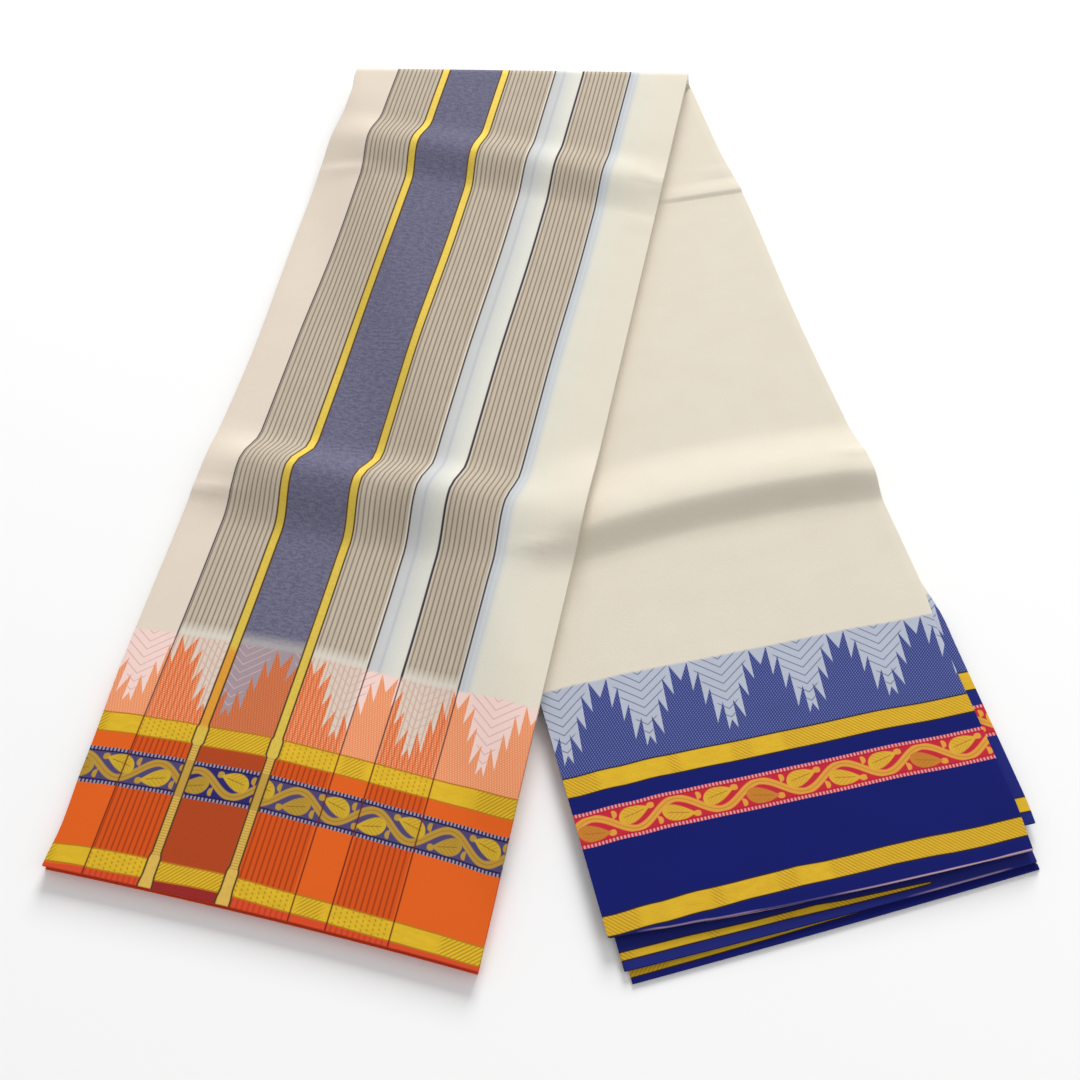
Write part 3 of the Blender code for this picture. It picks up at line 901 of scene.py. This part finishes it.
# The camera, solved from the arms' corners in the 1080 by 1080 photograph.
cameraSetup = {
    "place": (-0.04132, -0.59784, 0.7897),
    "down": radians(55.862),
    "roll": radians(3.660),
    "yaw": radians(4.309),
    "lens": 54.54,
    "sensor": 36.0,
    "nearest": 0.02,
}


def makeCamera():
    down, roll, yaw = cameraSetup["down"], cameraSetup["roll"], cameraSetup["yaw"]
    ahead = Vector((sin(yaw) * cos(down), cos(yaw) * cos(down), -sin(down)))
    level = Vector((cos(yaw), -sin(yaw), 0.0))
    upright = level.cross(ahead)
    right = cos(roll) * level + sin(roll) * upright
    up = -sin(roll) * level + cos(roll) * upright
    data = bpy.data.cameras.new("camera")
    data.lens = cameraSetup["lens"]
    data.sensor_width = cameraSetup["sensor"]
    data.clip_start = cameraSetup["nearest"]
    camera = bpy.data.objects.new("camera", data)
    facing = Matrix((right, up, -ahead)).transposed().to_4x4()
    camera.matrix_world = Matrix.Translation(cameraSetup["place"]) @ facing
    bpy.context.scene.collection.objects.link(camera)
    bpy.context.scene.camera = camera


studio = {
    "floorSize": 6.0,
    "floor": dye(250, 250, 250),
    "floorRough": 0.9,
    "sky": (1.0, 1.0, 1.0, 1.0),
    "skyStrength": 0.54,
    "lamps": [
        {"name": "key", "power": 214.0, "size": 2.0, "place": (0.75, 4.0, 2.15)},
        {"name": "fill", "power": 6.0, "size": 2.0, "place": (1.6, -0.9, 2.0)},
    ],
}


def makeStudio():
    bm = bmesh.new()
    bmesh.ops.create_grid(bm, x_segments=1, y_segments=1, size=studio["floorSize"])
    mesh = bpy.data.meshes.new("floor")
    bm.to_mesh(mesh)
    bm.free()
    floor = bpy.data.objects.new("floor", mesh)
    bpy.context.scene.collection.objects.link(floor)
    material = bpy.data.materials.new("floor")
    material.use_nodes = True
    shader = material.node_tree.nodes["Principled BSDF"]
    shader.inputs["Base Color"].default_value = studio["floor"]
    shader.inputs["Roughness"].default_value = studio["floorRough"]
    mesh.materials.append(material)
    world = bpy.data.worlds.new("studio")
    world.use_nodes = True
    sky = world.node_tree.nodes["Background"]
    sky.inputs["Color"].default_value = studio["sky"]
    sky.inputs["Strength"].default_value = studio["skyStrength"]
    bpy.context.scene.world = world
    for lamp in studio["lamps"]:
        light = bpy.data.lights.new(lamp["name"], "AREA")
        light.energy = lamp["power"]
        light.size = lamp["size"]
        thing = bpy.data.objects.new(lamp["name"], light)
        thing.location = lamp["place"]
        thing.rotation_euler = (-Vector(lamp["place"])).to_track_quat("-Z", "Y").to_euler()
        bpy.context.scene.collection.objects.link(thing)
    bpy.context.scene.view_settings.view_transform = "Standard"


# The four packs, from the outer face inwards. foldedEdge is -1 for the strip's left edge, and shownSide is
# 1 for the side towards the outer face. The ends are distances from the fold at the strip's left and right
# edge. At the right arm's end the edges step in and out. offset moves the woven pattern across.
packs = {
    "outer_cloth": {
        "node": "outer_panel", "slot": "striped_cotton", "layer": 0, "foldedEdge": -1, "shownSide": 1,
        "leftEnds": (0.6374, 0.6434), "rightEnds": (0.6500, 0.6413), "stepIn": 0.0065, "stepOut": 0.0020,
        "leftBow": -0.0020, "rightBow": 0.0006, "offset": 0.0,
    },
    "lower_plies": {
        "node": "hidden_plies", "slot": "blue_border_cotton", "layer": 1, "foldedEdge": -1, "shownSide": -1,
        "leftEnds": (0.6362, 0.6422), "rightEnds": (0.6435, 0.6380), "stepIn": 0.0040, "stepOut": 0.0010,
        "leftBow": -0.0020, "rightBow": 0.0010, "offset": 0.007,
    },
    "upper_plies": {
        "node": "hidden_plies", "slot": "blue_border_cotton", "layer": 2, "foldedEdge": 1, "shownSide": -1,
        "leftEnds": (0.6352, 0.6412), "rightEnds": (0.6120, 0.6180), "stepIn": 0.0010, "stepOut": 0.0070,
        "leftBow": -0.0020, "rightBow": 0.0010, "offset": 0.018,
    },
    "inner_cloth": {
        "node": "inner_panel", "slot": "cream_cotton", "layer": 3, "foldedEdge": 1, "shownSide": -1,
        "leftEnds": (0.6366, 0.6426), "rightEnds": (0.6264, 0.6326), "stepIn": 0.0, "stepOut": 0.0,
        "leftBow": -0.0020, "rightBow": 0.0026, "offset": 0.0,
    },
}

makeCamera()
makeStudio()
cloths = {name: foldedSheet(name, pack) for name, pack in packs.items()}
finishes = {
    "striped_cotton": stripedCotton(),
    "cream_cotton": creamCotton("cream_cotton", panelLook),
    "blue_border_cotton": creamCotton("blue_border_cotton", pliesLook),
}
for name, cloth in cloths.items():
    cloth.data.materials.append(finishes[packs[name]["slot"]])
print("cotton finishes woven")
